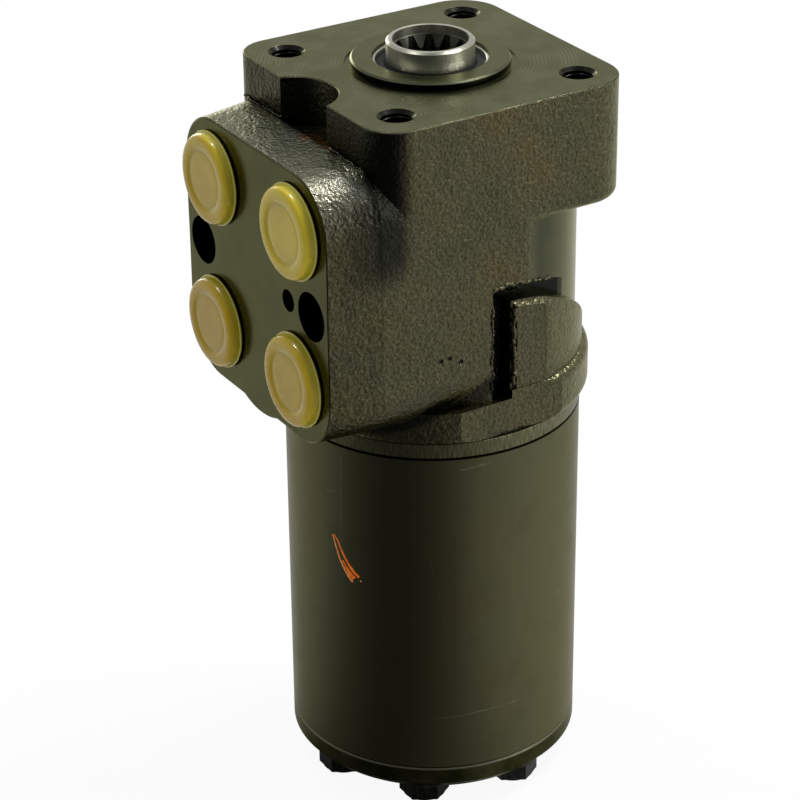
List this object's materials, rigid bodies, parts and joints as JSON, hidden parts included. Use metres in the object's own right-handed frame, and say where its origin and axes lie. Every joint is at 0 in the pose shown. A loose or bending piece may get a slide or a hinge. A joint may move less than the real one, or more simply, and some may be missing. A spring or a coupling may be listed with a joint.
{
  "type": "orbital steering unit",
  "caption": "Hydraulic steering unit: square flange with splined input, block with capped ports, round housing and a long drum for the orbiting gear set, closed by a screwed end cover.",
  "frame": {"origin": "centre of the mounting face, on the axis of the steering shaft", "axes": "+Z out of the mounting face along the steering shaft, ports face -Y, +X right hand side wall seen from the ports"},
  "size_m": [0.0862, 0.1064, 0.2269],
  "materials": {
    "casting": "rough, oiled",
    "drum": "smooth, dark, oiled",
    "turned_disc": "fine turned",
    "bright_steel": "ground",
    "black_screw": "black oxide, oiled",
    "washer_steel": "satin",
    "spring_steel": "satin",
    "bearing_steel": "polished",
    "seal_rubber": "matt",
    "slide_ring": "satin",
    "cap_plastic": "satin, slightly cloudy"
  },
  "bodies": {
    "housing": {"housing": "casting", "dust_seal": "seal_rubber", "shaft_seal": "slide_ring", "seal_energiser": "seal_rubber", "bearing_upper_race": "bearing_steel", "distributor_plate": "turned_disc", "gear_rim": "drum", "end_cover": "drum", "housing_seal": "seal_rubber", "plate_seal": "seal_rubber", "cover_seal": "seal_rubber", "cover_screws": "black_screw", "check_screw": "black_screw", "screw_washers": "washer_steel", "rolled_pin": "spring_steel", "check_seat": "bright_steel"},
    "sleeve": {"sleeve": "bright_steel", "spring_ring": "spring_steel", "cross_pin": "bright_steel", "centring_springs": "spring_steel", "bearing_lower_race": "bearing_steel"},
    "spool": {"spool": "bright_steel"},
    "needle_cage": {"bearing_cage": "bright_steel", "bearing_needles": "bearing_steel"},
    "rotor_spacer": {"rotor_spacer": "bright_steel"},
    "rotor": {"rotor": "bright_steel"},
    "cardan_shaft": {"cardan_shaft": "bright_steel"},
    "check_ball": {"check_ball": "bearing_steel"},
    "upper_left_cap": {"upper_left_cap": "cap_plastic"},
    "upper_right_cap": {"upper_right_cap": "cap_plastic"},
    "lower_left_cap": {"lower_left_cap": "cap_plastic"},
    "lower_right_cap": {"lower_right_cap": "cap_plastic"}
  },
  "joints": [
    {"name": "sleeve_spin", "type": "hinge", "parent": "housing", "child": "sleeve", "pos_m": [0, 0, 0], "axis": [0, 0, 1], "continuous": true},
    {"name": "spool_twist", "type": "hinge", "parent": "sleeve", "child": "spool", "pos_m": [0, 0, 0], "axis": [0, 0, 1], "range_deg": [-10, 10], "stiffness_Nm_per_rad": 6, "deforming": ["centring_springs"]},
    {"name": "cage_spin", "type": "hinge", "parent": "housing", "child": "needle_cage", "pos_m": [0, 0, 0], "axis": [0, 0, 1], "continuous": true},
    {"name": "rotor_orbit", "type": "hinge", "parent": "housing", "child": "rotor_spacer", "pos_m": [0, 0, 0], "axis": [0, 0, 1], "continuous": true},
    {"name": "rotor_spin", "type": "hinge", "parent": "rotor_spacer", "child": "rotor", "pos_m": [-0.00239, 0.00181, -0.15], "axis": [0, 0, 1], "continuous": true},
    {"name": "cardan_spin", "type": "hinge", "parent": "rotor_spacer", "child": "cardan_shaft", "pos_m": [0, 0, -0.062], "axis": [0.0252, -0.0191, 0.9995], "continuous": true},
    {"name": "check_ball_lift", "type": "slide", "parent": "housing", "child": "check_ball", "axis": [0, 0, 1], "range_m": [0, 0.0008]},
    {"name": "upper_left_cap_pull", "type": "slide", "parent": "housing", "child": "upper_left_cap", "axis": [0, -1, 0], "range_m": [0, 0.02]},
    {"name": "upper_right_cap_pull", "type": "slide", "parent": "housing", "child": "upper_right_cap", "axis": [0, -1, 0], "range_m": [0, 0.02]},
    {"name": "lower_left_cap_pull", "type": "slide", "parent": "housing", "child": "lower_left_cap", "axis": [0, -1, 0], "range_m": [0, 0.02]},
    {"name": "lower_right_cap_pull", "type": "slide", "parent": "housing", "child": "lower_right_cap", "axis": [0, -1, 0], "range_m": [0, 0.02]}
  ],
  "couplings": [
    {"joint": "cage_spin", "follows": "sleeve_spin", "ratio": 0.5},
    {"joint": "rotor_orbit", "follows": "sleeve_spin", "ratio": -6},
    {"joint": "rotor_spin", "follows": "sleeve_spin", "ratio": 7},
    {"joint": "cardan_spin", "follows": "sleeve_spin", "ratio": 7}
  ]
}
